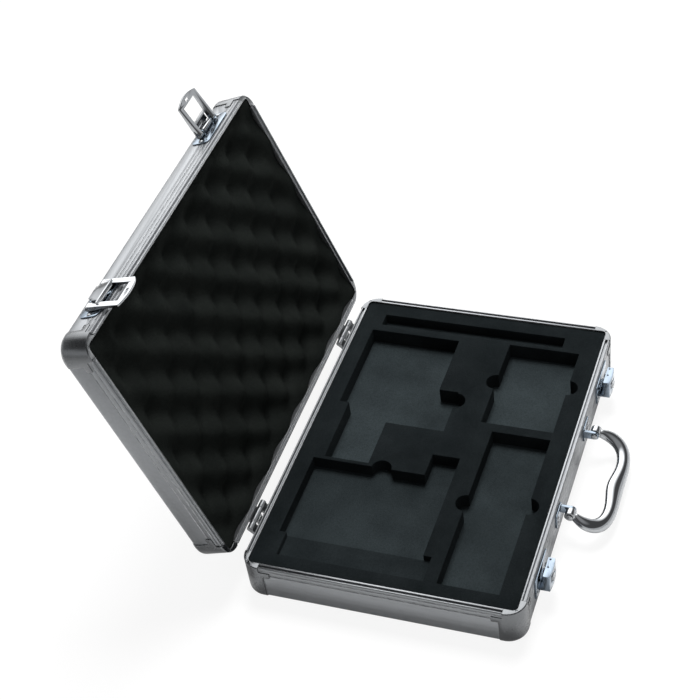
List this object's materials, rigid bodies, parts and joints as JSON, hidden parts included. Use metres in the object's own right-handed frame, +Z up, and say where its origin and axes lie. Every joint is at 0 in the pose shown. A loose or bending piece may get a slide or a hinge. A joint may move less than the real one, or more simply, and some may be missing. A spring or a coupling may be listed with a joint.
{
  "type": "laptop hard case",
  "caption": "Aluminium-framed laptop hard case standing open, with waved foam in the lid, die-cut foam in the base, hasp latches and a swinging chrome handle.",
  "frame": {"origin": "middle of the underside of the base", "axes": "+Z up from the underside, +Y towards the hinges, -Y towards the handle, +X along the hinges to the right seen from the handle"},
  "size_m": [0.405, 0.4747, 0.3515],
  "materials": {
    "rail": "satin anodised extrusion",
    "corner": "polished casting",
    "panel": "fine embossed silver-grey",
    "foam": "matt black open-cell foam",
    "chrome": "bright plated",
    "plated": "bright plated sheet and casting",
    "steel": "zinc plated"
  },
  "bodies": {
    "base": {"base_panel": "panel", "base_rail_front": "rail", "base_rail_back": "rail", "base_rail_left": "rail", "base_rail_right": "rail", "base_corner_fl": "corner", "base_corner_fr": "corner", "base_corner_rl": "corner", "base_corner_rr": "corner", "base_foam": "foam", "lock_plate_l": "plated", "lock_plate_r": "plated", "lock_body_l": "plated", "lock_body_r": "plated", "handle_bracket_l": "plated", "handle_bracket_r": "plated", "handle_pin_l": "steel", "handle_pin_r": "steel", "hinge_base_l": "steel", "hinge_base_r": "steel", "hinge_pin_l": "steel", "hinge_pin_r": "steel", "base_rivets": "steel"},
    "lid": {"lid_panel": "panel", "lid_rail_front": "rail", "lid_rail_back": "rail", "lid_rail_left": "rail", "lid_rail_right": "rail", "lid_corner_fl": "corner", "lid_corner_fr": "corner", "lid_corner_rl": "corner", "lid_corner_rr": "corner", "lid_foam": "foam", "hinge_lid_l": "steel", "hinge_lid_r": "steel", "hasp_plate_l": "plated", "hasp_plate_r": "plated", "hasp_pin_l": "steel", "hasp_pin_r": "steel", "lid_rivets": "steel"},
    "hasp_left": {"hasp_l": "chrome"},
    "hasp_right": {"hasp_r": "chrome"},
    "handle": {"handle_grip": "chrome"},
    "release_left": {"lock_slide_l": "steel"},
    "release_right": {"lock_slide_r": "steel"},
    "catch_left": {"lock_catch_l": "steel"},
    "catch_right": {"lock_catch_r": "steel"}
  },
  "joints": [
    {"name": "lid_hinge", "type": "hinge", "parent": "base", "child": "lid", "pos_m": [0, 0.1473, 0.04515], "axis": [1, 0, 0], "range_deg": [0, 109.5]},
    {"name": "handle_swing", "type": "hinge", "parent": "base", "child": "handle", "pos_m": [0, -0.1537, 0.032], "axis": [-1, 0, 0], "range_deg": [-62, 118]},
    {"name": "hasp_left_swing", "type": "hinge", "parent": "lid", "child": "hasp_left", "pos_m": [-0.134, 0.2614, 0.316], "axis": [-1, 0, 0], "range_deg": [0, 100]},
    {"name": "hasp_right_swing", "type": "hinge", "parent": "lid", "child": "hasp_right", "pos_m": [0.134, 0.2614, 0.316], "axis": [-1, 0, 0], "range_deg": [-100, 0]},
    {"name": "release_left_slide", "type": "slide", "parent": "base", "child": "release_left", "axis": [1, 0, 0], "range_m": [0, 0.004], "stiffness_N_per_m": 150, "springref_m": -0.004},
    {"name": "catch_left_slide", "type": "slide", "parent": "base", "child": "catch_left", "axis": [0, -1, 0], "range_m": [0, 0.0022]},
    {"name": "release_right_slide", "type": "slide", "parent": "base", "child": "release_right", "axis": [1, 0, 0], "range_m": [0, 0.004], "stiffness_N_per_m": 150, "springref_m": -0.004},
    {"name": "catch_right_slide", "type": "slide", "parent": "base", "child": "catch_right", "axis": [0, -1, 0], "range_m": [0, 0.0022]}
  ],
  "couplings": [
    {"joint": "catch_left_slide", "follows": "release_left_slide", "ratio": 0.55},
    {"joint": "catch_right_slide", "follows": "release_right_slide", "ratio": 0.55}
  ]
}
